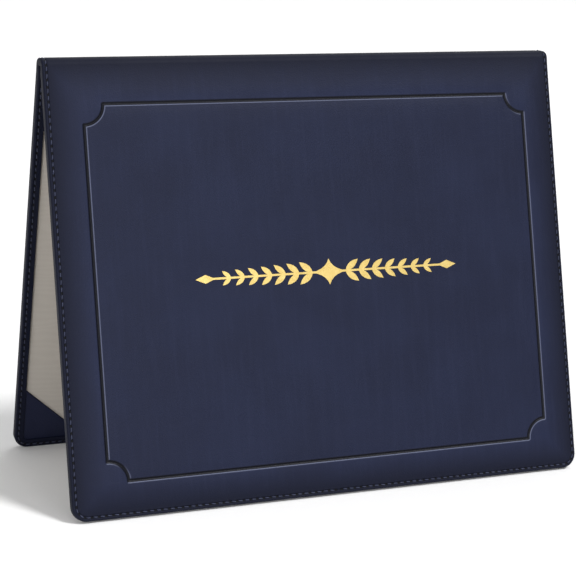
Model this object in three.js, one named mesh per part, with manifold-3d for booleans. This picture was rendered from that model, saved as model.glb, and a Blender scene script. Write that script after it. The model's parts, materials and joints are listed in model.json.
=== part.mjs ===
// Padded leatherette diploma cover, standing as a tent on its two long bottom edges.
// Millimetres, +Z up. The origin is on the floor, under the middle of the spine.
// Each cover is drawn lying flat: x along its width, y from its bottom edge up to the fold,
// z from its inner face out to its padded face. It is then turned up on its fold.
import * as THREE from 'three';
import { mergeVertices } from 'three/addons/utils/BufferGeometryUtils.js';
import Module from 'manifold-3d';

const wasm = await Module();
wasm.setup();

// Sizes of the whole cover
const coverWidth = 292;
const coverHeight = 235; // from the bottom edge to the outside of the fold
const halfAngle = THREE.MathUtils.degToRad(15); // lean of each cover when the tent stands
const closedGap = 0.6; // between the inner faces when the covers lie shut
const clearance = 0.3; // between pieces that lie on each other

// Thicknesses of the layers, from the inner face outwards
const leather = 0.9;
const pocketSheet = 0.4;
const liningSheet = 0.5;
const board = 1.5;
const foam = 1.3;
const stripSheet = 0.6; // inner strips along the fold

// Edges, seam and padding of a cover, as distances in from its edge
const cornerRadius = 8;
const outerRoll = 1.3; // rounding of the leather over the outer edge
const innerRoll = 0.7;
const turnIn = 5; // width of the leather turned in over the inner face
const seamInset = 2.1;
const seamHalfWidth = 0.6;
const seamDepth = 0.4;
const paddingStart = 3.6;
const paddingEnd = 15;
const plateauRadius = 10; // corners of the flat top of the padding

// Fold and spine
const foldRadius = 1.2;
const stripWidth = 12; // how far an inner strip reaches down its cover

// Debossed line with notched corners, measured to the middle of the line
const lineSide = 19.4;
const lineBottom = 18.7;
const lineTop = 23.7; // from the outside of the fold
const lineWidth = 1.9;
const lineFloor = 0.9; // width of the flat bottom of the line
const lineDepth = 0.5;
const notchRadius = 10.6;

// Foil stamp: a stem with leaves, a star in the middle and a lozenge at each end
const foilLength = 151;
const foilHeight = 14;
const foilShift = 2.5; // the stamp sits a little to the right of the middle
const foilAbove = 1.1; // and a little above it
const foilDepth = 0.5; // how deep it is pressed into the leather
const foilStem = 1.1;
const leafPairs = 7;
const leafLength = 9.6;
const leafWidth = 3.5;
const leafTaper = 0.06; // each pair is this much smaller than the one before it
const leafLean = THREE.MathUtils.degToRad(38);
const tipLength = 11;
const tipHeight = 4.6;

// Corner pockets of the back cover, as lengths along the cover's edges
const pocketAlong = 43;
const pocketUp = 40;

// Levels and places that follow from the sizes above
const pocketLevel = leather + clearance;
const liningLevel = pocketLevel + pocketSheet + clearance;
const boardLevel = liningLevel + liningSheet + clearance;
const foamLevel = boardLevel + board + clearance;
const edgeThickness = foamLevel + leather;
const paddingRise = foam + clearance;
const faceLevel = edgeThickness + paddingRise; // the flat padded face
const pivotY = coverHeight - foldRadius;
const pivotZ = edgeThickness - foldRadius;
const topEnd = pivotY - foldRadius - clearance; // every layer of a cover stops here
const wallInset = leather + clearance; // what lies inside the turned leather starts here
const spineWidth = 2 * edgeThickness + closedGap;
const pivotOffset = spineWidth / 2 - foldRadius;
const halfWidth = coverWidth / 2;

const cornerSegments = 7;
const paddingSteps = 6;
const rollSegments = 3;
const notchSegments = 8;
const leafSegments = 5;
const beadSegments = 8;
const past = 5; // how far a cutting tool runs past what it cuts

const leatherColor = new THREE.Color(0x272a3c);
const navy = new THREE.MeshStandardMaterial({ color: leatherColor, roughness: 0.5, metalness: 0 });
const inner = new THREE.MeshStandardMaterial({ color: 0x25283a, roughness: 0.6, metalness: 0 });
const paper = new THREE.MeshStandardMaterial({ color: 0xd9d4cc, roughness: 0.85, metalness: 0 });
const greyboard = new THREE.MeshStandardMaterial({ color: 0x9a9388, roughness: 0.95, metalness: 0 });
const padding = new THREE.MeshStandardMaterial({ color: 0xe8e6df, roughness: 0.95, metalness: 0 });
const gold = new THREE.MeshStandardMaterial({ color: 0xe8c878, roughness: 0.3, metalness: 0.9 });

// Turns a closed geometry into a manifold solid
function solid(geometry) {
  const plain = geometry.clone();
  plain.deleteAttribute('normal');
  plain.deleteAttribute('uv');
  const merged = mergeVertices(plain, 1e-5);
  return new wasm.Manifold(new wasm.Mesh({
    numProp: 3,
    vertProperties: new Float32Array(merged.attributes.position.array),
    triVerts: new Uint32Array(merged.index.array),
  }));
}

// Turns a manifold solid back into a geometry
function geometryOf(body) {
  const mesh = body.getMesh();
  const geometry = new THREE.BufferGeometry();
  geometry.setAttribute('position', new THREE.BufferAttribute(new Float32Array(mesh.vertProperties), 3));
  geometry.setIndex(new THREE.BufferAttribute(new Uint32Array(mesh.triVerts), 1));
  geometry.computeVertexNormals();
  return geometry;
}

// Skins a row of rings that have the same number of points. The two end rings get flat caps,
// or, when the row is a loop, the last ring is joined back to the first.
function loft(rings, isLoop = false) {
  const count = rings[0].length;
  const positions = rings.flat().flatMap((p) => [p.x, p.y, p.z]);
  const indices = [];
  const bands = isLoop ? rings.length : rings.length - 1;
  for (let band = 0; band < bands; band += 1) {
    const here = band * count;
    const next = ((band + 1) % rings.length) * count;
    for (let i = 0; i < count; i += 1) {
      const j = (i + 1) % count;
      indices.push(here + i, next + j, here + j);
      indices.push(here + i, next + i, next + j);
    }
  }
  if (!isLoop) {
    const last = (rings.length - 1) * count;
    const flat = (ring) => ring.map((p) => new THREE.Vector2(p.x, p.y));
    for (const [a, b, c] of THREE.ShapeUtils.triangulateShape(flat(rings[0]), [])) {
      indices.push(a, b, c);
    }
    for (const [a, b, c] of THREE.ShapeUtils.triangulateShape(flat(rings.at(-1)), [])) {
      indices.push(last + a, last + c, last + b);
    }
  }
  const geometry = new THREE.BufferGeometry();
  geometry.setAttribute('position', new THREE.BufferAttribute(new Float32Array(positions), 3));
  geometry.setIndex(indices);
  return geometry;
}

// Counter-clockwise points of the cover's outline moved in by inset, with bottom corners of radius
// lower and top corners of radius upper. The outline ends at y = top before it is moved in.
function outline(inset, z, lower, upper, top) {
  const right = halfWidth - inset;
  const bottom = inset;
  const end = top - inset;
  const corners = [
    [right - lower, bottom + lower, lower, -90],
    [right - upper, end - upper, upper, 0],
    [-right + upper, end - upper, upper, 90],
    [-right + lower, bottom + lower, lower, 180],
  ];
  const points = [];
  for (const [cx, cy, radius, startAngle] of corners) {
    for (let i = 0; i <= cornerSegments; i += 1) {
      const angle = THREE.MathUtils.degToRad(startAngle + (90 * i) / cornerSegments);
      points.push(new THREE.Vector3(cx + radius * Math.cos(angle), cy + radius * Math.sin(angle), z));
    }
  }
  return points;
}

const smallestRadius = 0.3; // keeps the inner rings of a corner from closing to a point
const skinTop = topEnd + paddingStart; // the skin is drawn past the fold and cut there

// Corner radii of the ring at a distance in from the edge: parallel corners out to the padding,
// then rounder ones up its slope
function bottomRadius(inset) {
  const slope = THREE.MathUtils.clamp((inset - paddingStart) / (paddingEnd - paddingStart), 0, 1);
  return THREE.MathUtils.lerp(Math.max(cornerRadius - inset, smallestRadius), plateauRadius, slope);
}

function topRadius(inset) {
  const slope = THREE.MathUtils.clamp((inset - paddingStart) / (paddingEnd - paddingStart), 0, 1);
  return THREE.MathUtils.lerp(smallestRadius, plateauRadius, slope);
}

function ring(inset, z) {
  return outline(inset, z, bottomRadius(inset), topRadius(inset), skinTop);
}

// Height of the padding at a share of its slope, steep at the seam and level at the top
function paddingHeight(share) {
  return paddingRise * (1 - (1 - share) ** 2.2);
}

const paddingShares = Array.from({ length: paddingSteps + 1 }, (_, i) => i / paddingSteps);
const paddingInset = (share) => THREE.MathUtils.lerp(paddingStart, paddingEnd, share);

// Points [inset, z] of a quarter round from the top of an edge to its side
function roll(radius, top, isUpper) {
  return Array.from({ length: rollSegments + 1 }, (_, i) => {
    const angle = (Math.PI / 2) * (i / rollSegments);
    return isUpper
      ? [radius * (1 - Math.sin(angle)), top - radius * (1 - Math.cos(angle))]
      : [radius * (1 - Math.cos(angle)), radius * (1 - Math.sin(angle))];
  });
}

// The leatherette skin of a cover: a padded face, a seam channel, rolled edges and a turned-in
// margin, one closed tray of leather that is open over the board's inner face and at the fold
function skinGeometry() {
  const face = paddingShares
    .map((share) => [paddingInset(share), edgeThickness + paddingHeight(share)])
    .reverse();
  const seam = [
    [seamInset + seamHalfWidth, edgeThickness - seamDepth / 3],
    [seamInset, edgeThickness - seamDepth],
    [seamInset - seamHalfWidth, edgeThickness - seamDepth / 4],
  ];
  const margin = [
    [turnIn, 0],
    [turnIn, leather],
    [leather, leather],
    [leather, edgeThickness - leather],
  ];
  const inside = paddingShares.map((share) => (
    [paddingInset(share), edgeThickness - leather + paddingHeight(share)]
  ));
  const profile = [
    ...face,
    ...seam,
    ...roll(outerRoll, edgeThickness, true),
    ...roll(innerRoll, innerRoll, false),
    ...margin,
    ...inside,
  ];
  const tray = solid(loft(profile.map(([inset, z]) => ring(inset, z))));
  const cutHeight = faceLevel + 2 * past;
  const cutter = new THREE.BoxGeometry(coverWidth + 2 * past, 2 * past + paddingStart, cutHeight);
  cutter.translate(0, topEnd + past + paddingStart / 2, faceLevel / 2);
  // no leather is turned in along the fold, where the inner strip lies
  const openLength = coverWidth - 2 * turnIn;
  const opening = new THREE.BoxGeometry(openLength, 2 * turnIn, leather + clearance + past);
  opening.translate(0, topEnd, (leather + clearance - past) / 2);
  return tray.subtract(solid(cutter)).subtract(solid(opening));
}

// Notched frame: an outline grown by offset from the middle of the line. Each notch is an arc
// round the corner where the two straight lines would meet.
function notchedRing(offset, z) {
  const right = halfWidth - lineSide;
  const bottom = lineBottom;
  const top = coverHeight - lineTop;
  const radius = notchRadius - offset;
  const lead = Math.asin(offset / radius);
  const corners = [[right, bottom, 180], [right, top, 270], [-right, top, 0], [-right, bottom, 90]];
  const points = [];
  for (const [cx, cy, startAngle] of corners) {
    const start = THREE.MathUtils.degToRad(startAngle) + lead;
    const sweep = -(Math.PI / 2 + 2 * lead);
    for (let i = 0; i <= notchSegments; i += 1) {
      const angle = start + (sweep * i) / notchSegments;
      points.push(new THREE.Vector3(cx + radius * Math.cos(angle), cy + radius * Math.sin(angle), z));
    }
  }
  return points;
}

// Tool that presses the line: a closed band with sloping sides
function lineTool() {
  const slope = (lineWidth - lineFloor) / 2 / lineDepth;
  const upper = faceLevel + 1;
  const upperHalf = lineWidth / 2 + slope;
  const lower = faceLevel - lineDepth;
  return solid(loft([
    notchedRing(upperHalf, upper),
    notchedRing(lineFloor / 2, lower),
    notchedRing(-lineFloor / 2, lower),
    notchedRing(-upperHalf, upper),
  ], true));
}

// Upright prism over a flat shape between two heights
function prism(shape, low, high) {
  const geometry = new THREE.ExtrudeGeometry(shape, {
    depth: high - low,
    bevelEnabled: false,
    curveSegments: leafSegments,
  });
  geometry.translate(0, 0, low);
  return geometry;
}

// Pointed leaf along +x from the origin, grown all round
function leafShape(length, width, grow) {
  const shape = new THREE.Shape();
  const bulge = width + 2 * grow;
  shape.moveTo(-grow, 0);
  shape.quadraticCurveTo(length * 0.45, -bulge, length + 2 * grow, 0);
  shape.quadraticCurveTo(length * 0.45, bulge, -grow, 0);
  return shape;
}

// Star of four points with hollow sides, or a lozenge when hollow is 1
function starShape(length, height, hollow, grow) {
  const a = length / 2 + 2 * grow;
  const b = height / 2 + grow;
  const shape = new THREE.Shape();
  const ends = [[a, 0], [0, b], [-a, 0], [0, -b]];
  shape.moveTo(a, 0);
  for (let i = 0; i < 4; i += 1) {
    const [x0, y0] = ends[i];
    const [x1, y1] = ends[(i + 1) % 4];
    shape.quadraticCurveTo(hollow * (x0 + x1) / 2 + grow * Math.sign(x0 + x1),
      hollow * (y0 + y1) / 2 + grow * Math.sign(y0 + y1), x1, y1);
  }
  return shape;
}

// The ornament between two heights, grown all round by a clearance where it is to be a recess
function ornament(low, high, grow) {
  const stemLength = foilLength - tipLength;
  const stem = new THREE.BoxGeometry(stemLength, foilStem + 2 * grow, high - low);
  stem.translate(0, 0, (low + high) / 2);
  let body = solid(stem);
  const starLength = foilHeight * 1.5;
  body = body.add(solid(prism(starShape(starLength, foilHeight, 0.35, grow), low, high)));
  for (const side of [-1, 1]) {
    const tip = prism(starShape(tipLength, tipHeight, 1, grow), low, high);
    tip.translate(side * (foilLength - tipLength) / 2, 0, 0);
    body = body.add(solid(tip));
    const reach = foilLength / 2 - tipLength - starLength / 2;
    for (let pair = 0; pair < leafPairs; pair += 1) {
      const size = 1 - leafTaper * pair;
      const x = side * (starLength / 2 - 1 + (reach * pair) / leafPairs);
      for (const up of [-1, 1]) {
        const leaf = prism(leafShape(leafLength * size, leafWidth * size, grow), low, high);
        leaf.rotateZ(side > 0 ? up * leafLean : Math.PI - up * leafLean);
        leaf.translate(x, 0, 0);
        body = body.add(solid(leaf));
      }
    }
  }
  return body.translate([foilShift, coverHeight / 2 + foilAbove, 0]);
}

// Flat sheet that lies inside the turned leather
function sheetGeometry(low, thickness) {
  const radius = Math.max(cornerRadius - wallInset, smallestRadius);
  const low2d = outline(wallInset, 0, radius, smallestRadius, topEnd + wallInset);
  const shape = new THREE.Shape(low2d.map((p) => new THREE.Vector2(p.x, p.y)));
  return prism(shape, low, low + thickness);
}

// Foam pad: flat against the board, with a crowned face that follows the leather
function foamGeometry() {
  const crown = paddingShares
    .map((share) => [paddingInset(share), foamLevel + paddingHeight(share) - clearance])
    .filter(([, z]) => z > foamLevel + 0.05);
  const rings = crown.map(([inset, z]) => ring(inset, z)).reverse();
  rings.push(ring(crown[0][0], foamLevel));
  return loft(rings);
}

// Corner pocket: a triangle of leatherette tucked under the turned-in margin. Left is the reader's
// left on the inner side, which is +x in the drawing of the back cover.
function pocketGeometry(isLeft, isUpper) {
  const radius = isUpper ? smallestRadius : Math.max(cornerRadius - wallInset, smallestRadius);
  const shape = new THREE.Shape();
  const side = isLeft ? 1 : -1;
  const x0 = halfWidth - wallInset;
  const edgeY = isUpper ? topEnd : wallInset;
  const inwards = isUpper ? -1 : 1;
  const arc = Array.from({ length: cornerSegments + 1 }, (_, i) => {
    const angle = (Math.PI / 2) * (i / cornerSegments);
    return [x0 - radius + radius * Math.sin(angle), edgeY + inwards * radius * (1 - Math.cos(angle))];
  });
  const points = [[halfWidth - pocketAlong, edgeY], ...arc, [x0, edgeY + inwards * (pocketUp - wallInset)]];
  shape.setFromPoints(points.map(([x, y]) => new THREE.Vector2(side * x, y)));
  return prism(shape, pocketLevel, pocketLevel + pocketSheet);
}

// Leatherette strip on the inner side of a cover, along its fold and between its two margins
function hingeStripGeometry() {
  const length = coverWidth - 2 * (turnIn + clearance);
  const geometry = new THREE.BoxGeometry(length, stripWidth, stripSheet);
  geometry.translate(0, topEnd - stripWidth / 2, leather - stripSheet / 2);
  return geometry;
}

// Spine skin: a flat web between two round folds, turned in at its ends. Drawn with y across it
// and z = 0 at the height of the two fold axes.
function spineSkin() {
  const web = new THREE.BoxGeometry(coverWidth, 2 * pivotOffset, leather);
  web.translate(0, 0, foldRadius - leather / 2);
  let body = solid(web);
  for (const side of [-1, 1]) {
    const bead = new THREE.CylinderGeometry(foldRadius, foldRadius, coverWidth, 2 * beadSegments);
    bead.rotateZ(Math.PI / 2);
    bead.translate(0, side * pivotOffset, 0);
    body = body.add(solid(bead));
    const lipLow = foldRadius - 2 * leather - stripSheet / 2;
    const lip = new THREE.BoxGeometry(turnIn, 2 * pivotOffset, leather);
    lip.translate(side * (halfWidth - turnIn / 2), 0, lipLow + leather / 2);
    const end = new THREE.BoxGeometry(leather, 2 * pivotOffset, foldRadius - lipLow);
    end.translate(side * (halfWidth - leather / 2), 0, (foldRadius + lipLow) / 2);
    body = body.add(solid(lip)).add(solid(end));
  }
  return body;
}

// Inner strip of the spine, between the two folds and the two turned-in ends
function spineStripGeometry() {
  const length = coverWidth - 2 * (turnIn + clearance);
  const width = 2 * (pivotOffset - foldRadius - clearance);
  const geometry = new THREE.BoxGeometry(length, width, stripSheet);
  geometry.translate(0, 0, foldRadius - leather - clearance - stripSheet / 2);
  return geometry;
}

function named(name, geometry, material) {
  const mesh = new THREE.Mesh(geometry, material);
  mesh.name = name;
  return mesh;
}

// A cover on its fold: the outer group turns, the inner one moves the drawing to the fold's axis
function cover(side, skin) {
  const flat = new THREE.Group();
  flat.position.set(0, -pivotY, -pivotZ);
  flat.add(named(`${side}_skin`, geometryOf(skin), navy));
  flat.add(named(`${side}_foam`, foamGeometry(), padding));
  flat.add(named(`${side}_board`, sheetGeometry(boardLevel, board), greyboard));
  flat.add(named(`${side}_lining`, sheetGeometry(liningLevel, liningSheet), paper));
  flat.add(named(`${side}_hinge_strip`, hingeStripGeometry(), inner));
  const turned = new THREE.Group();
  turned.rotation.x = Math.PI / 2 - halfAngle;
  turned.position.y = -pivotOffset;
  turned.add(flat);
  const group = new THREE.Group();
  group.add(turned);
  return { group, flat };
}

// How far the lowest point of the rolled bottom edge lies below the fold's axis
const lowest = Math.min(...roll(innerRoll, innerRoll, false).map(([y, z]) => (
  (y - pivotY) * Math.cos(halfAngle) + (z - pivotZ) * Math.sin(halfAngle)
)));

const diplomaCover = new THREE.Group();
diplomaCover.position.z = -lowest;

const plainSkin = skinGeometry();
const recess = ornament(faceLevel - foilDepth, faceLevel + past, clearance);
const frontSkin = plainSkin.subtract(lineTool()).subtract(recess);
const front = cover('front', frontSkin);
const foil = ornament(faceLevel - foilDepth + clearance, faceLevel, 0);
front.flat.add(named('foil_stamp', geometryOf(foil), gold));
diplomaCover.add(front.group);

const back = cover('back', plainSkin);
for (const [name, isLeft, isUpper] of [
  ['pocket_bottom_left', true, false],
  ['pocket_bottom_right', false, false],
  ['pocket_top_left', true, true],
  ['pocket_top_right', false, true],
]) {
  back.flat.add(named(name, pocketGeometry(isLeft, isUpper), inner));
}
back.group.rotation.z = Math.PI;
diplomaCover.add(back.group);

diplomaCover.add(named('spine_skin', geometryOf(spineSkin()), navy));
diplomaCover.add(named('spine_strip', spineStripGeometry(), inner));

export default diplomaCover;
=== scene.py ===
import json
import math

import bmesh
import bpy
import numpy as np
from mathutils import Matrix, Vector


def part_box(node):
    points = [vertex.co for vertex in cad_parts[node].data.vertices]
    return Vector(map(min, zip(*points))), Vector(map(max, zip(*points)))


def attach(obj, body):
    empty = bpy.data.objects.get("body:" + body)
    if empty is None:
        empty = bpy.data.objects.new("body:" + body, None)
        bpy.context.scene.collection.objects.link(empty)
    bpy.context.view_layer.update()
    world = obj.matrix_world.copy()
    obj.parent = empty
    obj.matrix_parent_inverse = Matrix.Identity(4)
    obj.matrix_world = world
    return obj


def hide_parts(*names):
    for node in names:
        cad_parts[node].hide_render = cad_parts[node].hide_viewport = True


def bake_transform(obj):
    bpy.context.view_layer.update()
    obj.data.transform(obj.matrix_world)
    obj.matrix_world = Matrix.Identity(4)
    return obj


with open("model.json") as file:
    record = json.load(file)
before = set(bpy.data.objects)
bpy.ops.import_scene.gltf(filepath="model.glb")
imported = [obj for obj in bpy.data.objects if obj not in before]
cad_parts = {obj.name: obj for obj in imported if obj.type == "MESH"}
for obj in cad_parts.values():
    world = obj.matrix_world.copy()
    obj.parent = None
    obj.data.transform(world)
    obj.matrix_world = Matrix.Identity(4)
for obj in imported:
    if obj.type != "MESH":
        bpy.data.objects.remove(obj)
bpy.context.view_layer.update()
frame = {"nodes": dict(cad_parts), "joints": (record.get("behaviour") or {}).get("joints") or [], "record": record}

# The front cover's leatherette.
# One sheet of padded, grained navy leatherette. It wraps the board's three free edges, is turned in
# over the inner face and sewn there, and runs on over the fold to the middle of the spine. A line
# with notched corners is pressed into its face.

mm = 0.001
lean = math.asin(frame["record"]["mounts"][0]["axis"][2])
fold_at = {j["name"]: Vector(j["pos_m"]) for j in frame["joints"]}
fold_y = -fold_at["front_fold"].y
fold_z = fold_at["front_fold"].z
half_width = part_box("front_skin")[1].x
width = 2 * half_width
spine_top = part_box("spine_skin")[1].z
fold_radius = spine_top - fold_z
closed_gap = 0.6 * mm
edge_thickness = (2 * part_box("spine_skin")[1].y - closed_gap) / 2
cover_height = 235 * mm
fold_v = cover_height - fold_radius       # where the fold's axis lies, measured up the cover
fold_w = edge_thickness - fold_radius     # and measured out from its inner face

corner_radius = 8 * mm
outer_roll = 1.3 * mm
inner_roll = 0.8 * mm
leather = 0.9 * mm
turned_in = 5 * mm
seam_inset = 2.1 * mm
seam_depth = 0.34 * mm
seam_reach = 0.75 * mm
inner_seam_depth = 0.2 * mm
inner_seam_reach = 0.7 * mm
padding_start = 3.6 * mm
padding_end = 15 * mm
padding_rise = 1.6 * mm
padding_swell = 0.15 * mm

line_side = 19.4 * mm
line_bottom = 18.7 * mm
line_top = 23.7 * mm
line_half = 1.05 * mm
line_floor = 0.15 * mm
line_depth = 0.66 * mm
line_dip = 0.24 * mm          # the soft dip of the pad round the line, and how far it reaches
line_dip_reach = 3.6 * mm
notch_radius = 10.6 * mm

stamp_dip = 0.12 * mm
stamp_reach = 4 * mm
pale_inside = 0.72            # share of painted light on the face inside the line, where 1 is the brightest painted sheen

arch_radius = 4.4 * mm        # outside of the soft arch that the leather makes over a fold
arch_angle = math.pi / 2 - lean
arch_length = arch_radius * arch_angle
arch_start = fold_v + (fold_radius - arch_radius) * math.tan(arch_angle / 2)
spine_plies = 4.0 * mm
thinning_length = 4 * mm      # over which a cover's edge thins down to the spine's plies


def cover_points(side, u, v, w):
    """A cover's flat drawing stood up: u from the left edge, v up from the bottom edge and w out
    from the inner face turn into x, y, z by the cover's lean about its fold."""
    up, out = v - fold_v, w - fold_w
    y = -fold_y + up * math.sin(lean) - out * math.cos(lean)
    z = fold_z + up * math.cos(lean) + out * math.sin(lean)
    x = u - half_width
    return np.stack([x, y, z], -1) if side == "front" else np.stack([-x, -y, z], -1)


def skin_points(side, u, q, w):
    """The leather's path over the fold. Up to arch_start, q is v. Past it the leather turns by the
    angle between cover and spine on an arch about a centre under it, and then runs level to the
    middle of the spine. w keeps its distance from the path."""
    turned = np.clip((q - arch_start) / arch_radius, 0, arch_angle)
    centre = cover_points("front", u, u * 0 + arch_start, u * 0 + edge_thickness - arch_radius)
    radius = arch_radius + w - edge_thickness
    level = np.maximum(q - arch_start - arch_length, 0)
    flat = cover_points("front", u, np.minimum(q, arch_start), w)
    past = q > arch_start
    y = np.where(past, centre[..., 1] - radius * np.sin(arch_angle - turned) + level, flat[..., 1])
    z = np.where(past, centre[..., 2] + radius * np.cos(arch_angle - turned), flat[..., 2])
    x = flat[..., 0]
    return np.stack([x, y, z], -1) if side == "front" else np.stack([-x, -y, z], -1)


arch_middle = float(cover_points("front", 0.0, arch_start, edge_thickness - arch_radius)[1])
skin_end = arch_start + arch_length - arch_middle     # q at the middle of the spine

# the seam's own path: from the middle of the spine down a side, round the corner and along the
# bottom edge to its middle, with a whole number of stitches and a half
seam_straight = skin_end - corner_radius
seam_arc = (corner_radius - seam_inset) * math.pi / 2
seam_length = seam_straight + seam_arc + half_width - corner_radius
stitch_pitch = seam_length / 101.5


def seam_place(along, inset):
    """Point on the seam's path: straight down the side, a quarter circle round the corner and
    straight along the bottom, at the given inset. Gives u and q for the left half."""
    angle = np.clip((along - seam_straight) / (corner_radius - seam_inset), 0, math.pi / 2)
    radius = corner_radius - inset
    u = corner_radius - radius * np.cos(angle) + np.maximum(along - seam_straight - seam_arc, 0)
    q = corner_radius - radius * np.sin(angle) + np.maximum(seam_straight - along, 0)
    return u, q


def padding(u, v):
    """Height of the padding over the flat edge: each side's slope rises as 1 - (1 - s)^1.5 from the
    seam to the pressed line, and the slopes of the near side, the bottom and the fold are
    multiplied, which rounds the pad's corners. Along the fold it rises over twice the length.
    Between seam and line the foam also swells a little, as sin^2, since the line holds it down."""
    def slope(distance, length=line_side - padding_start - 1.2 * mm):
        share = np.clip((distance - padding_start) / length, 0, 1)
        return 1 - (1 - share) ** 1.5

    def swell(distance, line_at):
        share = np.clip((distance - padding_start) / (line_at - padding_start), 0, 1)
        return np.sin(math.pi * share) ** 2

    near, over = np.minimum(u, width - u), arch_start + padding_start - v
    slopes = slope(near) * slope(v) * slope(over, 2 * (line_side - padding_start))
    flat = (1 - swell(near, line_side)) * (1 - swell(v, line_bottom))
    return slopes * (padding_rise + padding_swell * (1 - flat))


def line_distance(u, v):
    """Distance to the middle of the pressed line, below zero outside it: a rectangle whose corners
    are quarter circles round the corner points, folded into one quarter by symmetry."""
    middle = (line_bottom + cover_height - line_top) / 2
    a = half_width - line_side
    b = (cover_height - line_top - line_bottom) / 2
    x, y = np.abs(u - half_width), np.abs(v - middle)
    right = np.hypot(x - a, np.maximum(y - (b - notch_radius), 0))
    top = np.hypot(np.maximum(x - (a - notch_radius), 0), y - b)
    inside = (x <= a) & (y <= b)
    notch = np.hypot(x - a, y - b) - notch_radius
    nearest = np.minimum(np.minimum(right, top), np.where(inside, np.abs(notch), 1.0))
    return np.where(inside & (notch > 0), nearest, -nearest)


def pressed(distance):
    """Depth of the pressed line: a narrow floor with smooth slanting walls, in a soft wide dip of
    the pad."""
    share = np.clip((line_half - np.abs(distance)) / (line_half - line_floor), 0, 1)
    wall = share * share * (3 - 2 * share)
    return line_depth * wall + line_dip * np.exp(-(distance / line_dip_reach) ** 2)


def rubbed(u, v):
    """Share of a painted highlight, a light glint along the lower and the right edge of each stretch of
    the pressed line: a bell there, found from the way the distance grows."""
    step = 0.2 * mm
    far, here = np.abs(line_distance(u + step, v - step)), np.abs(line_distance(u, v))
    grows = far - np.abs(line_distance(u - step, v + step))
    at_edge = np.exp(-((here - line_half) / (0.22 * mm)) ** 2)
    return at_edge * np.clip(grows / (2 * step), 0, 1)


def paleness(u, q, has_line):
    """Share of painted light on the leather, from 0 to 1: painted shade along the seams and over the
    fold, rising evenly to a painted sheen towards the pressed line, and one level of it inside the line."""
    side = np.minimum(np.minimum(u, width - u), q)
    from_edge = np.minimum(side, 0.8 * (arch_start - q) + padding_start)
    share = np.clip((from_edge - padding_start) / (line_side - padding_start - 1 * mm), 0, 1)
    inside = line_distance(u, q) > 0 if has_line else share > pale_inside
    return np.where(inside, pale_inside, share)


def stamped(u, v):
    """Depth of the shallow dip round the foil stamp: full over the stamp's box and smoothly zero
    at its reach outside it."""
    low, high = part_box("foil_stamp")
    centre_v = ((low.z + high.z) / 2 - fold_z) / math.cos(lean) + fold_v
    half_v = (high.z - low.z) / 2 / math.cos(lean)
    beyond_u = np.maximum(np.abs(u - half_width - (low.x + high.x) / 2) - (high.x - low.x) / 2, 0)
    beyond_v = np.maximum(np.abs(v - centre_v) - half_v, 0)
    share = np.clip(1 - np.hypot(beyond_u, beyond_v) / stamp_reach, 0, 1)
    return stamp_dip * share * share * (3 - 2 * share)


def seam_channel(inset):
    """Depth of the sewn channel as a bell about the seam."""
    return seam_depth * np.exp(-((inset - seam_inset) / seam_reach) ** 2)


def thinned(height, q):
    """Height of the side wall and margin near the fold: the cover's thickness shrinks smoothly to
    the plies of the spine over the thinning length."""
    share = np.clip((q - (arch_start - thinning_length)) / thinning_length, 0, 1)
    low = share * share * (3 - 2 * share) * (edge_thickness - spine_plies)
    return low + height * (edge_thickness - low) / edge_thickness


def spread(*stretches):
    """Places along a line: each stretch is (start, end, step), joined end to start."""
    parts = []
    for start, end, step in stretches:
        count = max(int(round((end - start) / step)), 1)
        parts.append(np.linspace(start, end, count + 1)[:-1])
    return np.concatenate([*parts, [stretches[-1][1]]])


def edge_profile():
    """Section of the edge as rows of (inset, height, is_face): the padded slope, the seam, the
    rolled outer edge, the side, the rolled inner edge and the turned-in margin with its lip."""
    rows = [(d, 0.0, 1.0) for d in np.linspace(padding_end, padding_start, 14)]
    rows += [(d, 0.0, 1.0) for d in np.linspace(padding_start, outer_roll, 11)[1:]]
    for angle in np.linspace(0, math.pi / 2, 8)[1:]:
        rows.append((outer_roll * (1 - math.sin(angle)),
                     edge_thickness - outer_roll * (1 - math.cos(angle)), 0.0))
    for height in np.linspace(edge_thickness - outer_roll, inner_roll, 5)[1:-1]:
        rows.append((0.0, height, 0.0))
    for angle in np.linspace(0, math.pi / 2, 6):
        rows.append((inner_roll * (1 - math.cos(angle)), inner_roll * (1 - math.sin(angle)), 0.0))
    for inset in np.linspace(inner_roll, turned_in - 0.3 * mm, 12)[1:]:
        dent = math.exp(-((inset - seam_inset) / inner_seam_reach) ** 2)
        rows.append((inset, inner_seam_depth * dent, 0.0))
    rows += [(turned_in - 0.1 * mm, 0.08 * mm, 0.0), (turned_in, 0.3 * mm, 0.0),
             (turned_in, 0.85 * mm, 0.0)]
    return np.array(rows)


def new_piece(name, co, polygons, seam=None, **marks):
    """Links a smooth mesh of the given points and polygons. The seam coordinates go into a UV map,
    and each mark, a share at every point, goes into an attribute."""
    mesh = bpy.data.meshes.new(name)
    mesh.from_pydata(co.tolist(), [], polygons)
    mesh.update()
    mesh.shade_smooth()
    if seam is not None:
        loops = np.zeros(len(mesh.loops), np.int32)
        mesh.loops.foreach_get("vertex_index", loops)
        layer = mesh.uv_layers.new(name="seam")
        layer.uv.foreach_set("vector", seam[loops].astype(np.float32).ravel())
    for mark, shares in marks.items():
        mesh.attributes.new(mark, "FLOAT", "POINT").data.foreach_set("value", shares)
    shell = bmesh.new()
    shell.from_mesh(mesh)
    bmesh.ops.recalc_face_normals(shell, faces=shell.faces)
    shell.to_mesh(mesh)
    shell.free()
    piece = bpy.data.objects.new(name, mesh)
    bpy.context.scene.collection.objects.link(piece)
    return piece


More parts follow.
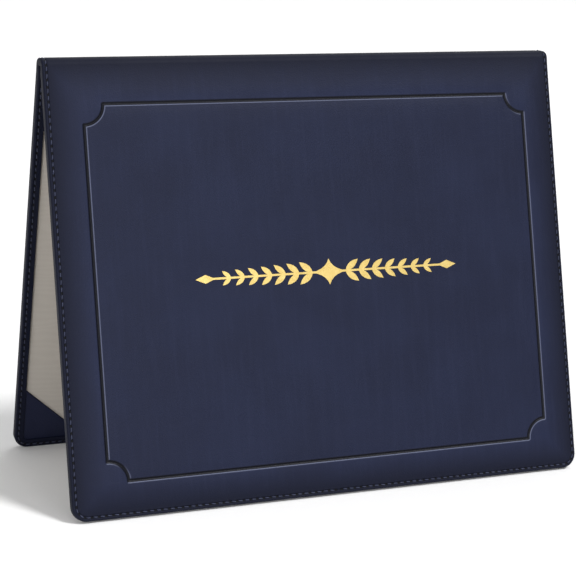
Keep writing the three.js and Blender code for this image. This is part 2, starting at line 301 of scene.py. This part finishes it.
def skin_piece(name, side, has_line):
    """The whole leather surface as four kinds of grid: the face, a band up each side, a band along
    the bottom, and two corners where the band's rows bend round quarter circles. The grid is fine
    round the line and its notches. Points that the grids share are welded, and quads that lose a
    side become triangles."""
    fine = 0.3 * mm if has_line else 2.5 * mm
    beside_line = 1.6 * mm
    notch = notch_radius + 3 * mm
    low_u, low_v = line_side - beside_line, line_bottom - beside_line
    high_v = cover_height - line_top + beside_line
    us = spread((padding_end, low_u, 1 * mm), (low_u, low_u + notch, fine),
                (low_u + notch, half_width, 3 * mm))
    us = np.concatenate([us, (width - us[:-1])[::-1]])
    qs = spread((padding_end, low_v, 1 * mm), (low_v, low_v + notch, fine),
                (low_v + notch, high_v - notch, 3 * mm), (high_v - notch, high_v, fine),
                (high_v, arch_start, 1.1 * mm), (arch_start, arch_start + arch_length, 0.3 * mm),
                (arch_start + arch_length, skin_end, 0.5 * mm))
    points, seams, faces, presses, rubs, pales = [], [], [], [], [], []

    def add_grid(u, q, w, along, inset, press=0.0, rub=0.0):
        """Adds one grid of points and its quads."""
        first = sum(len(p) for p in points)
        u, q, w, along, inset, press, rub = np.broadcast_arrays(u, q, w, along, inset, press, rub)
        presses.append(press.ravel())
        rubs.append(rub.ravel())
        # painted light: the share of painted sheen and painted shade at every point
        pales.append(paleness(u, q, has_line).ravel())
        rows, columns = u.shape
        points.append(skin_points(side, u.ravel(), q.ravel(), w.ravel()))
        seams.append(np.stack([along.ravel(), inset.ravel()], -1))
        index = first + np.arange(rows * columns).reshape(rows, columns)
        quad = np.stack([index[:-1, :-1], index[:-1, 1:], index[1:, 1:], index[1:, :-1]], -1)
        faces.append(quad.reshape(-1, 4))

    profile = edge_profile()
    inset, row_height, is_face = (profile[:, i][:, None] for i in range(3))

    def band_height(u, q):
        """Height of a band's points: the padded slope with its seam, or the edge's own section."""
        on_face = edge_thickness + padding(u, q) - seam_channel(inset)
        if has_line:
            on_face = on_face - pressed(line_distance(u, q))
        return np.where(is_face > 0, on_face, thinned(row_height, q))

    u, q = np.meshgrid(us, qs)
    top = edge_thickness + padding(u, q)
    press, rub = 0 * u, 0 * u
    if has_line:
        top = top - pressed(line_distance(u, q)) - stamped(u, q)
        # the pressed line's mask, which also carries the groove's painted shade
        press = np.clip((line_half + 0.1 * mm - np.abs(line_distance(u, q))) / (0.35 * mm), 0, 1)
        # a painted highlight along the lower and right edges of the pressed line
        rub = rubbed(u, q)
    add_grid(u, q, top, 0.0, 1.0, press, rub)

    down = np.linspace(padding_end, corner_radius, 7)[None, :-1]
    turn = np.linspace(0, math.pi / 2, 13)[None, :]
    radius = np.maximum(corner_radius - inset, 0)
    centre = np.maximum(corner_radius, inset)
    corner_u = np.concatenate([inset + 0 * down, centre - radius * np.cos(turn),
                               np.maximum(down[:, ::-1], inset)], 1)
    corner_q = np.concatenate([np.maximum(down, inset), centre - radius * np.sin(turn),
                               inset + 0 * down], 1)
    corner_along = np.concatenate([skin_end - down,
                                   seam_straight + turn * (corner_radius - seam_inset),
                                   seam_straight + seam_arc + down[:, ::-1] - corner_radius], 1)
    for flip in (lambda x: x, lambda x: width - x):
        u = flip(inset + 0 * qs[None, :])
        add_grid(u, qs[None, :], band_height(u, qs[None, :]), skin_end - qs[None, :], inset)
        u = flip(corner_u)
        add_grid(u, corner_q, band_height(u, corner_q), corner_along, inset)
    along = seam_straight + seam_arc + np.minimum(us, width - us)[None, :] - corner_radius
    add_grid(us[None, :], inset, band_height(us[None, :], inset), along, inset)

    co, quads, seam = np.concatenate(points), np.concatenate(faces), np.concatenate(seams)
    press, rub, pale = (np.concatenate(shares) for shares in (presses, rubs, pales))
    _, first, back = np.unique(np.round(co / (0.002 * mm)).astype(np.int64), axis=0,
                               return_index=True, return_inverse=True)
    rings = [[p for i, p in enumerate(quad) if p != quad[i - 1]]
             for quad in back.ravel()[quads].tolist()]
    return new_piece(name, co[first], [r for r in rings if len(set(r)) > 2], seam[first],
                     press=press[first], rub=rub[first], pale=pale[first])


def blend_over_fold(piece):
    """Bakes the piece's transform into its mesh."""
    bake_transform(piece)


class Value:
    """A shader socket that Python's arithmetic works on. Each operator adds one Math node."""

    def __init__(self, shader, socket):
        self.shader, self.socket = shader, socket

    def math(self, operation, *others):
        inputs = dict(enumerate([self, *others]))
        return self.shader.node("ShaderNodeMath", {"operation": operation}, inputs)

    def __add__(self, other):
        return self.math("ADD", other)

    def __radd__(self, other):
        return self.math("ADD", other)

    def __sub__(self, other):
        return self.math("SUBTRACT", other)

    def __rsub__(self, other):
        return (self * -1).math("ADD", other)

    def __mul__(self, other):
        return self.math("MULTIPLY", other)

    def __rmul__(self, other):
        return self.math("MULTIPLY", other)

    def __truediv__(self, other):
        return self.math("DIVIDE", other)

    def __pow__(self, other):
        return self.math("POWER", other)

    def __abs__(self):
        return self.math("ABSOLUTE")

    def smooth(self, low, high):
        """0 below low, 1 above high, and a smooth rise between them."""
        inputs = {"Value": self, "From Min": low, "From Max": high}
        settings = {"interpolation_type": "SMOOTHSTEP"}
        return self.shader.node("ShaderNodeMapRange", settings, inputs)


class Shader:
    def __init__(self, owner, place="Object"):
        owner.use_nodes = True
        self.owner = owner
        self.tree = owner.node_tree
        self.place = self.node("ShaderNodeTexCoord", {}, {}, place)

    def node(self, kind, settings, inputs, output=0):
        """Adds a node of a kind, with its settings first and then its sockets, set or linked."""
        made = self.tree.nodes.new(kind)
        for name, value in settings.items():
            setattr(made, name, value)
        for name, value in inputs.items():
            if isinstance(value, Value):
                self.tree.links.new(value.socket, made.inputs[name])
            else:
                made.inputs[name].default_value = value
        return Value(self, made.outputs[output])

    def noise(self, scale, detail=2.0, rough=0.5, place=None):
        inputs = {"Vector": place or self.place, "Scale": scale, "Detail": detail,
                  "Roughness": rough}
        return self.node("ShaderNodeTexNoise", {}, inputs)

    def stretched(self, x, y, z):
        """Object coordinates multiplied by x, y and z."""
        inputs = {0: self.place, 1: (x, y, z)}
        return self.node("ShaderNodeVectorMath", {"operation": "MULTIPLY"}, inputs)

    def mix(self, share, first, second):
        """Mixes two colours, each a colour or a socket, by a share from 0 to 1."""
        inputs = {0: share, 6: first, 7: second}
        return self.node("ShaderNodeMix", {"data_type": "RGBA"}, inputs, 2)

    def finish(self, colour, roughness, height=None, **constants):
        """Sets the Principled sockets. height is in metres and becomes a bump normal."""
        values = {"Base Color": colour, "Roughness": roughness}
        values.update({name.replace("_", " "): value for name, value in constants.items()})
        if height is not None:
            values["Normal"] = self.node("ShaderNodeBump", {}, {"Height": height, "Distance": 1.0})
        base = self.tree.nodes["Principled BSDF"]
        for name, value in values.items():
            if isinstance(value, Value):
                self.tree.links.new(value.socket, base.inputs[name])
            else:
                base.inputs[name].default_value = value
        return self.owner


def rgb(r, g, b):
    """A colour written as sRGB from 0 to 255, turned into linear light with an alpha of 1."""
    parts = [((c / 255 + 0.055) / 1.055) ** 2.4 if c > 10 else c / 3294 for c in (r, g, b)]
    return (*parts, 1)


def leather_grain(shader):
    """Height of the grain: small rounded cells with creases between them, on a slow unevenness."""
    inputs = {"Vector": shader.place, "Scale": 1450.0, "Smoothness": 0.35, "Randomness": 0.9}
    cells = shader.node("ShaderNodeTexVoronoi", {"feature": "SMOOTH_F1"}, inputs, "Distance")
    fine = shader.noise(2600.0, 2.0)
    slow = shader.noise(160.0, 3.0)
    return cells * (-0.055 * mm) + fine * (0.02 * mm) + slow * (0.1 * mm)


def sewn_leather():
    """Navy leatherette with the needle holes of the seam. The UV map gives the way along the seam
    and the inset, so that a hole lies between each two stitches and the leather puckers there. The
    needle holes are painted near black, a painted shade. The pressed line is painted near black too,
    partly the hot die's real darkening and partly painted shade in the groove, and its lower and right
    edges carry a painted highlight. The navy is painted darker along the seams and over the fold and
    lighter towards the pressed line: painted shade and painted sheen."""
    shader = Shader(bpy.data.materials.new("navy_leatherette"))
    seam = shader.node("ShaderNodeUVMap", {"uv_map": "seam"}, {})
    along = shader.node("ShaderNodeSeparateXYZ", {}, {"Vector": seam}, "X")
    inset = shader.node("ShaderNodeSeparateXYZ", {}, {"Vector": seam}, "Y")
    turn = (along / stitch_pitch + 0.5).math("FRACT")
    to_hole = abs(turn - 0.5) * stitch_pitch
    across = inset - seam_inset
    oval = to_hole * 0.5
    distance = (oval * oval + across * across) ** 0.5
    hole = 1 - distance.smooth(0.42 * mm, 0.72 * mm)
    near = 1 - abs(across).smooth(0.3 * mm, 1.9 * mm)
    pucker = near * (to_hole / stitch_pitch * 2).smooth(0.0, 1.0)
    streaks = shader.noise(1.0, 3.0, 0.6, shader.stretched(420.0, 60.0, 24.0))
    patches = shader.noise(26.0, 4.0, 0.55)
    press = shader.node("ShaderNodeAttribute", {"attribute_name": "press"}, {}, "Fac")
    rub = shader.node("ShaderNodeAttribute", {"attribute_name": "rub"}, {}, "Fac")
    pale = shader.node("ShaderNodeAttribute", {"attribute_name": "pale"}, {}, "Fac")
    shade = shader.mix(patches.smooth(0.3, 0.7), rgb(24, 29, 51), rgb(27, 33, 57))
    # painted shade and sheen: darker navy along the seams and over the fold, lighter towards the pressed line
    shade = shader.mix(pale, rgb(11, 15, 33), shade)
    shade = shader.mix(streaks.smooth(0.42, 0.78) * pale * 0.3, shade, rgb(34, 39, 63))
    # painted shade in the groove: the pressed line painted near black, partly the hot die's real darkening
    shade = shader.mix(press * 0.95, shade, rgb(7, 8, 15))
    # painted highlight: a light glint along the lower and right edges of the pressed line
    shade = shader.mix(rub * 0.6, shade, rgb(116, 122, 148))
    # painted shade: the needle holes painted near black
    shade = shader.mix(hole * 0.9, shade, rgb(6, 6, 10))
    roughness = 0.62 - pale * 0.2 + (patches - 0.5) * 0.12 + (streaks - 0.5) * 0.1
    height = leather_grain(shader) * (1 - press * 0.7) + pucker * (0.12 * mm) - hole * (0.4 * mm)
    return shader.finish(shade, roughness, height, Specular_IOR_Level=0.15)


navy = sewn_leather()
front_leatherette = skin_piece("front_leatherette", "front", True)
front_leatherette.data.materials.append(navy)
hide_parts("front_skin", "spine_skin")
blend_over_fold(front_leatherette)

# The back cover's leatherette.
# The same wrapped sheet on the other side of the spine, plain, meeting the front one's sheet along
# the middle of the spine.

back_leatherette = skin_piece("back_leatherette", "back", False)
back_leatherette.data.materials.append(navy)
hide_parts("back_skin")
blend_over_fold(back_leatherette)

# The stitching.
# A lockstitch in navy thread runs round the three free edges of both covers and over the ends of
# the spine, on the outer face and on the turned-in margin inside.

thread_radius = 0.27 * mm
stitch_length = stitch_pitch - 1.1 * mm


def stitch_piece(name, side):
    """Stitches as short tubes along the seam: each one's middle line rises from the leather as
    1 - t^4 and both ends sink into their needle holes as t^6. t runs from -1 to 1 along the stitch,
    and angles round the tube make its circle in the inset and height directions."""
    rings, sides = 11, 8
    t, angle = np.meshgrid(np.linspace(-1, 1, rings), np.linspace(0, 2 * math.pi, sides + 1)[:-1],
                           indexing="ij")
    count = int((seam_length - stitch_pitch) / stitch_pitch) + 1
    middles = (np.arange(count) + 0.5) * stitch_pitch
    lift = 0.30 * mm * (1 - np.abs(t) ** 4) - seam_depth * np.abs(t) ** 6
    radius = thread_radius * (1 - 0.35 * np.abs(t) ** 4)
    twist = 0.12 * mm * t
    points, polygons, first = [], [], 0
    ring = np.arange(sides)
    after = (ring + 1) % sides
    start = np.arange(rings - 1)[:, None] * sides
    quads = np.stack([start + ring, start + after, start + sides + after, start + sides + ring], -1)
    quads = quads.reshape(-1, 4)
    for is_face in (True, False):
        rows = middles[:, None, None] + t * stitch_length / 2
        sink = lift + radius * np.sin(angle)
        for flip in (False, True):
            inset = seam_inset + twist * (1 if flip else -1) + radius * np.cos(angle) + 0 * rows
            u, q = seam_place(rows, inset)
            middle_q = q[:, rings // 2, 0]
            keep = np.ones(count, bool) if is_face else middle_q < arch_start - thinning_length
            on_face = edge_thickness - seam_depth + sink + 0 * q
            w = on_face if is_face else thinned(inner_seam_depth + 0 * q, q) - sink
            u = width - u if flip else u
            co = skin_points(side, u[keep], q[keep], w[keep]).reshape(-1, 3)
            points.append(co)
            for k in range(int(keep.sum())):
                base = first + k * rings * sides
                last = base + (rings - 1) * sides
                polygons += (quads + base).tolist()
                polygons += [(base + ring[::-1]).tolist(), (last + ring).tolist()]
            first += len(co)
    return new_piece(name, np.concatenate(points), polygons)


def thread_material():
    """Twisted navy thread: fine slanting ridges whose tops are painted lighter, a painted highlight, and a soft
    sheen.
    """
    shader = Shader(bpy.data.materials.new("navy_thread"))
    wave = {"Vector": shader.place, "Scale": 900.0, "Distortion": 0.4}
    ridges = shader.node("ShaderNodeTexWave", {"bands_direction": "DIAGONAL"}, wave, 1)
    # painted highlight: the ridge tops painted lighter than the hollows between them
    shade = shader.mix(ridges, rgb(24, 28, 47), rgb(58, 64, 90))
    return shader.finish(shade, 0.5, ridges * (0.05 * mm), Specular_IOR_Level=0.4)


thread = thread_material()
for side in ("front", "back"):
    stitches = stitch_piece(f"{side}_stitches", side)
    stitches.data.materials.append(thread)
    blend_over_fold(stitches)

# The inner strips over the folds.
# A strip of the same leatherette is glued over each cover's fold on the inside. It starts under a
# folded edge on the lining, goes round the end of the board and under the spine to its middle.

strip_width = 12 * mm
strip_inset = turned_in + 0.3 * mm
below_fold = 1.5 * mm         # how far below the fold's axis the strips and pockets end


def rounded_path(points, turns=3):
    """A path with its corners cut: each pass puts points at a quarter and three quarters of every
    leg, which tends to a smooth curve. Its ends stay."""
    for _ in range(turns):
        cut = np.empty((2 * len(points) - 2, 2))
        cut[0::2] = points[:-1] * 0.75 + points[1:] * 0.25
        cut[1::2] = points[:-1] * 0.25 + points[1:] * 0.75
        points = np.concatenate([points[:1], cut[1:-1], points[-1:]])
    return points


def strip_piece(name, side):
    """The strip's section in y and z, rounded from points on the cover and under the spine, drawn
    along x, which is the other parameter."""
    top_end = fold_v - below_fold
    start = top_end - strip_width
    on_cover = np.array([(start, 1.75), (start - 0.4 * mm, 1.1), (start + 0.6 * mm, 0.62),
                         (top_end - 8 * mm, 0.5), (fold_v - 4 * mm, 0.45),
                         (fold_v - 2.2 * mm, 0.45)])
    leg = cover_points("front", np.zeros(len(on_cover)), on_cover[:, 0], on_cover[:, 1] * mm)[:, 1:]
    under = np.array([(-0.9 * mm, fold_z - 2.55 * mm), (0.0, fold_z - 2.5 * mm)])
    path = rounded_path(np.concatenate([leg, under]))
    xs = np.linspace(strip_inset - half_width, half_width - strip_inset, 60)
    x, row = np.meshgrid(xs, np.arange(len(path)))
    co = np.stack([x, path[row, 0], path[row, 1]], -1).reshape(-1, 3)
    if side == "back":
        co = co * (-1, -1, 1)
    index = np.arange(x.size).reshape(x.shape)
    quads = np.stack([index[:-1, :-1], index[:-1, 1:], index[1:, 1:], index[1:, :-1]], -1)
    return new_piece(name, co, quads.reshape(-1, 4).tolist())


def plain_leather(name, dark, light):
    """The same leatherette without a seam."""
    shader = Shader(bpy.data.materials.new(name))
    patches = shader.noise(30.0, 4.0, 0.55)
    shade = shader.mix(patches.smooth(0.3, 0.7), dark, light)
    roughness = 0.48 + (patches - 0.5) * 0.14
    return shader.finish(shade, roughness, leather_grain(shader), Specular_IOR_Level=0.13)


inner_navy = plain_leather("inner_leatherette", rgb(24, 28, 48), rgb(30, 34, 56))
strip_nodes = {"front": ["front_hinge_strip", "spine_strip"], "back": ["back_hinge_strip"]}
for side, nodes in strip_nodes.items():
    strip = strip_piece(f"{side}_inner_strip", side)
    strip.data.materials.append(inner_navy)
    plies = strip.modifiers.new("ply", "SOLIDIFY")
    plies.thickness = 0.35 * mm
    plies.offset = 0
    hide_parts(*nodes)
    blend_over_fold(strip)

# The corner pockets.
# Triangles of leatherette are tucked under the margins at the back cover's four inner corners to
# hold a certificate. The long side of each is folded under to a soft hem.

pocket_along = 43 * mm
pocket_up = 40 * mm
hem = 6 * mm


def pocket_piece(name, is_left, is_upper):
    """A triangle as two parameters: share s along the hem's direction between the side margin and
    the bottom margin, and a profile across it, from the corner to the hem, round its fold and back
    underneath. The hem bulges as sin(pi s) and the bulge fades away from it."""
    bend = 0.38 * mm
    across = pocket_along * pocket_up / math.hypot(pocket_along, pocket_up)
    flat = [(t, 0.0) for t in np.linspace(0.85 * across, 0.0, 22)]
    turn = [(-bend * math.sin(a), bend * (1 - math.cos(a))) for a in np.linspace(0, math.pi, 8)[1:]]
    under = [(t, 2 * bend - 0.25 * mm * t / hem) for t in np.linspace(0.4 * mm, hem, 6)]
    section = np.array(flat + turn + under)
    s, row = np.meshgrid(np.linspace(0, 1, 41), np.arange(len(section)))
    t, drop = section[row, 0], section[row, 1]
    rest = 1 - t / across
    tuck = 1.6 * mm
    side_u, side_v = tuck + 0 * rest, np.maximum(pocket_up * rest, tuck)
    foot_u, foot_v = np.maximum(pocket_along * rest, tuck), tuck + 0 * rest
    u = side_u + (foot_u - side_u) * s
    v = side_v + (foot_v - side_v) * s
    bulge = 0.42 * mm * np.sin(math.pi * s) * np.exp(-np.maximum(t, 0) / (12 * mm))
    under_margin = 1.12 * mm
    clear = np.clip((np.minimum(u, v) - turned_in) / (3 * mm), 0, 1)
    w = under_margin - bulge * clear + drop
    top = fold_v - below_fold
    v = top - v if is_upper else v
    if is_left:
        u = width - u
    co = cover_points("back", u.ravel(), v.ravel(), w.ravel())
    index = np.arange(s.size).reshape(s.shape)
    quads = np.stack([index[:-1, :-1], index[:-1, 1:], index[1:, 1:], index[1:, :-1]], -1)
    return new_piece(name, co, quads.reshape(-1, 4).tolist())


for is_left in (True, False):
    for is_upper in (True, False):
        node = f"pocket_{'top' if is_upper else 'bottom'}_{'left' if is_left else 'right'}"
        low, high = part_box(node)
        pocket = pocket_piece(f"{node}_leather", (low.x + high.x < 0), is_upper)
        pocket.data.materials.append(inner_navy)
        plies = pocket.modifiers.new("ply", "SOLIDIFY")
        plies.thickness = 0.32 * mm
        plies.offset = 0
        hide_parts(node)
        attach(pocket, "back_cover")

# The linings.
# A sheet of off-white watered paper covers the inside of each board, its edges under the margins.


def watered_paper():
    """Off-white paper with the faint watered figure of moire: long wavering bands that follow the
    width of the sheet, in a slightly darker tone and a lower roughness."""
    shader = Shader(bpy.data.materials.new("watered_paper"))
    drift = shader.noise(1.0, 3.0, 0.55, shader.stretched(9.0, 26.0, 26.0))
    wave = {"Vector": shader.place, "Scale": 95.0, "Distortion": 0.0,
            "Phase Offset": drift * 70.0}
    bands = shader.node("ShaderNodeTexWave", {"bands_direction": "Z"}, wave, 1)
    fibres = shader.noise(1.0, 4.0, 0.7, shader.stretched(700.0, 2600.0, 2600.0))
    shade = shader.mix(bands * 0.3, rgb(186, 180, 172), rgb(176, 169, 161))
    return shader.finish(shade, 0.6 - bands * 0.08, fibres * (0.02 * mm), Specular_IOR_Level=0.3)


lining_paper = watered_paper()
for side in ("front", "back"):
    lining = frame["nodes"][f"{side}_lining"]
    lining.data.materials.clear()
    lining.data.materials.append(lining_paper)

# The boards.
# A sheet of grey bookbinder's board stiffens each cover, between the lining and the foam.


def grey_board():
    """Pressed grey pulp with darker specks."""
    shader = Shader(bpy.data.materials.new("grey_board"))
    specks = shader.noise(900.0, 3.0, 0.6)
    shade = shader.mix(specks.smooth(0.55, 0.75), rgb(150, 146, 138), rgb(112, 108, 102))
    return shader.finish(shade, 0.9, specks * (0.05 * mm))


board_grey = grey_board()
for side in ("front", "back"):
    board = frame["nodes"][f"{side}_board"]
    board.data.materials.clear()
    board.data.materials.append(board_grey)

# The foam pads.
# A thin pad of foam lies between each board and the leatherette and gives the face its soft swell.


def foam_piece(name, side):
    """A closed pad over two parameters, u and v: its top follows the padding under the leather, its
    bottom is flat, and walls close it along the line where the padding begins."""
    places = np.linspace(0, 1, 60)
    low, high = padding_start + 0.4 * mm, width - padding_start - 0.4 * mm
    below_arch = 1.5 * mm
    top_v = arch_start - below_arch
    u, v = np.meshgrid(low + (high - low) * places, low + (top_v - low) * places)
    base = edge_thickness - leather + 0.02 * mm
    rise = np.minimum(padding(u, v), padding_rise)
    upper = base + np.maximum(rise - leather / 2, 0.05 * mm)
    co = np.concatenate([cover_points(side, u.ravel(), v.ravel(), upper.ravel()),
                         cover_points(side, u.ravel(), v.ravel(), np.full(u.size, base))])
    index = np.arange(u.size).reshape(u.shape)
    quads = np.stack([index[:-1, :-1], index[:-1, 1:], index[1:, 1:], index[1:, :-1]], -1)
    quads = quads.reshape(-1, 4)
    rim = np.concatenate([index[0, :-1], index[:-1, -1], index[-1, :0:-1], index[:0:-1, 0]])
    after = np.roll(rim, -1)
    walls = np.stack([rim, after, after + u.size, rim + u.size], -1)
    every = np.concatenate([quads, quads[:, ::-1] + u.size, walls])
    return new_piece(name, co, every.tolist())


def foam_material():
    """Pale open foam: small round pores."""
    shader = Shader(bpy.data.materials.new("foam"))
    inputs = {"Vector": shader.place, "Scale": 1600.0}
    pores = shader.node("ShaderNodeTexVoronoi", {}, inputs, "Distance")
    shade = shader.mix(pores.smooth(0.1, 0.6), rgb(190, 182, 160), rgb(228, 222, 204))
    return shader.finish(shade, 0.95, pores * (0.1 * mm))


foam = foam_material()
for side in ("front", "back"):
    pad = foam_piece(f"{side}_foam_pad", side)
    pad.data.materials.append(foam)
    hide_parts(f"{side}_foam")
    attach(pad, f"{side}_cover")

# The foil stamp.
# Gold foil is pressed into the face with a hot die: a thin bright film that follows the leather's
# grain a little and is a touch uneven.


def gold_foil():
    """Bright foil with the leather's grain showing through it weakly."""
    shader = Shader(bpy.data.materials.new("gold_foil"))
    wear = shader.noise(420.0, 3.0, 0.6)
    shade = shader.mix(wear, rgb(236, 200, 112), rgb(252, 228, 152))
    height = leather_grain(shader) * 0.25
    return shader.finish(shade, 0.22 + wear * 0.14, height, Metallic=1.0)


stamp = frame["nodes"]["foil_stamp"]
stamp.data.materials.clear()
stamp.data.materials.append(gold_foil())

# The floor, the light and the camera.
# A pale table under a broad sun high over its right side, with soft lamps at the left, in front and
# behind and an even studio round it, seen from the front left with a long lens.

floor_mesh = bpy.data.meshes.new("floor")
reach = 6.0
under_feet = -0.05 * mm       # the table lies a hair below the covers' lower edges
floor_mesh.from_pydata([(-reach, -reach, under_feet), (reach, -reach, under_feet),
                        (reach, reach, under_feet), (-reach, reach, under_feet)],
                       [], [(0, 1, 2, 3)])
floor = bpy.data.objects.new("floor", floor_mesh)
bpy.context.scene.collection.objects.link(floor)
table = Shader(bpy.data.materials.new("table"))
mottle = table.noise(3.0, 2.0)
tone = table.mix(mottle, rgb(246, 246, 246), rgb(248, 248, 248))
floor_mesh.materials.append(table.finish(tone, 0.85, Specular_IOR_Level=0.1))


def area_light(name, place, aim, size, watts):
    """A square soft lamp at a place, turned to a point."""
    data = bpy.data.lights.new(name, "AREA")
    data.size, data.energy = size, watts
    lamp = bpy.data.objects.new(name, data)
    lamp.location = place
    lamp.rotation_euler = (Vector(aim) - Vector(place)).to_track_quat("-Z", "Y").to_euler()
    bpy.context.scene.collection.objects.link(lamp)


area_light("left", (-1.33, -1.9, 0.72), (0, 0, 0.12), 0.3, 16)
area_light("near", (0.0, -1.5, 0.52), (0, 0, 0.12), 0.35, 2.6)
area_light("front", (0.9, -2.1, 0.77), (0, 0, 0.12), 1.2, 2.6)
area_light("back", (0.9, 1.4, 1.9), (0, 0, 0.12), 1.0, 7)
key = bpy.data.objects.new("key", bpy.data.lights.new("key", "SUN"))
key.data.energy = 2.2
key.data.angle = math.radians(12)
key.rotation_euler = Vector((0.5, -0.64, 1.0)).to_track_quat("Z", "Y").to_euler()
bpy.context.scene.collection.objects.link(key)

# the studio is white to the camera, and otherwise brighter overhead than at the horizon
world = bpy.data.worlds.new("studio")
bpy.context.scene.world = world
studio = Shader(world, "Generated")
overhead = studio.node("ShaderNodeSeparateXYZ", {}, {"Vector": studio.place}, "Z")
soft = 0.24 + overhead.math("MAXIMUM", 0.0) * 0.46
seen = studio.node("ShaderNodeLightPath", {}, {}, "Is Camera Ray")
seen = seen.math("MAXIMUM", studio.node("ShaderNodeLightPath", {}, {}, "Is Transmission Ray"))
surround = studio.tree.nodes["Background"]
surround.inputs["Color"].default_value = (1, 1, 1, 1)
strength = seen + soft * (1 - seen)
studio.tree.links.new(strength.socket, surround.inputs["Strength"])

camera_data = bpy.data.cameras.new("camera")
camera_data.sensor_width = 36
camera_data.lens = 111.332
camera = bpy.data.objects.new("camera", camera_data)
bpy.context.scene.collection.objects.link(camera)
yaw, pitch, roll = (math.radians(a) for a in (22.35, 13.553, 1.668))
forward = Vector((math.sin(yaw) * math.cos(pitch), math.cos(yaw) * math.cos(pitch),
                  -math.sin(pitch)))
level = Vector((math.cos(yaw), -math.sin(yaw), 0))
above = level.cross(forward)
right = level * math.cos(roll) + above * math.sin(roll)
upward = above * math.cos(roll) - level * math.sin(roll)
turned = Matrix((right, upward, -forward)).transposed().to_4x4()
camera.matrix_world = Matrix.Translation((-0.370119, -0.886039, 0.329902)) @ turned
bpy.context.scene.camera = camera
bpy.context.scene.view_settings.view_transform = "Standard"
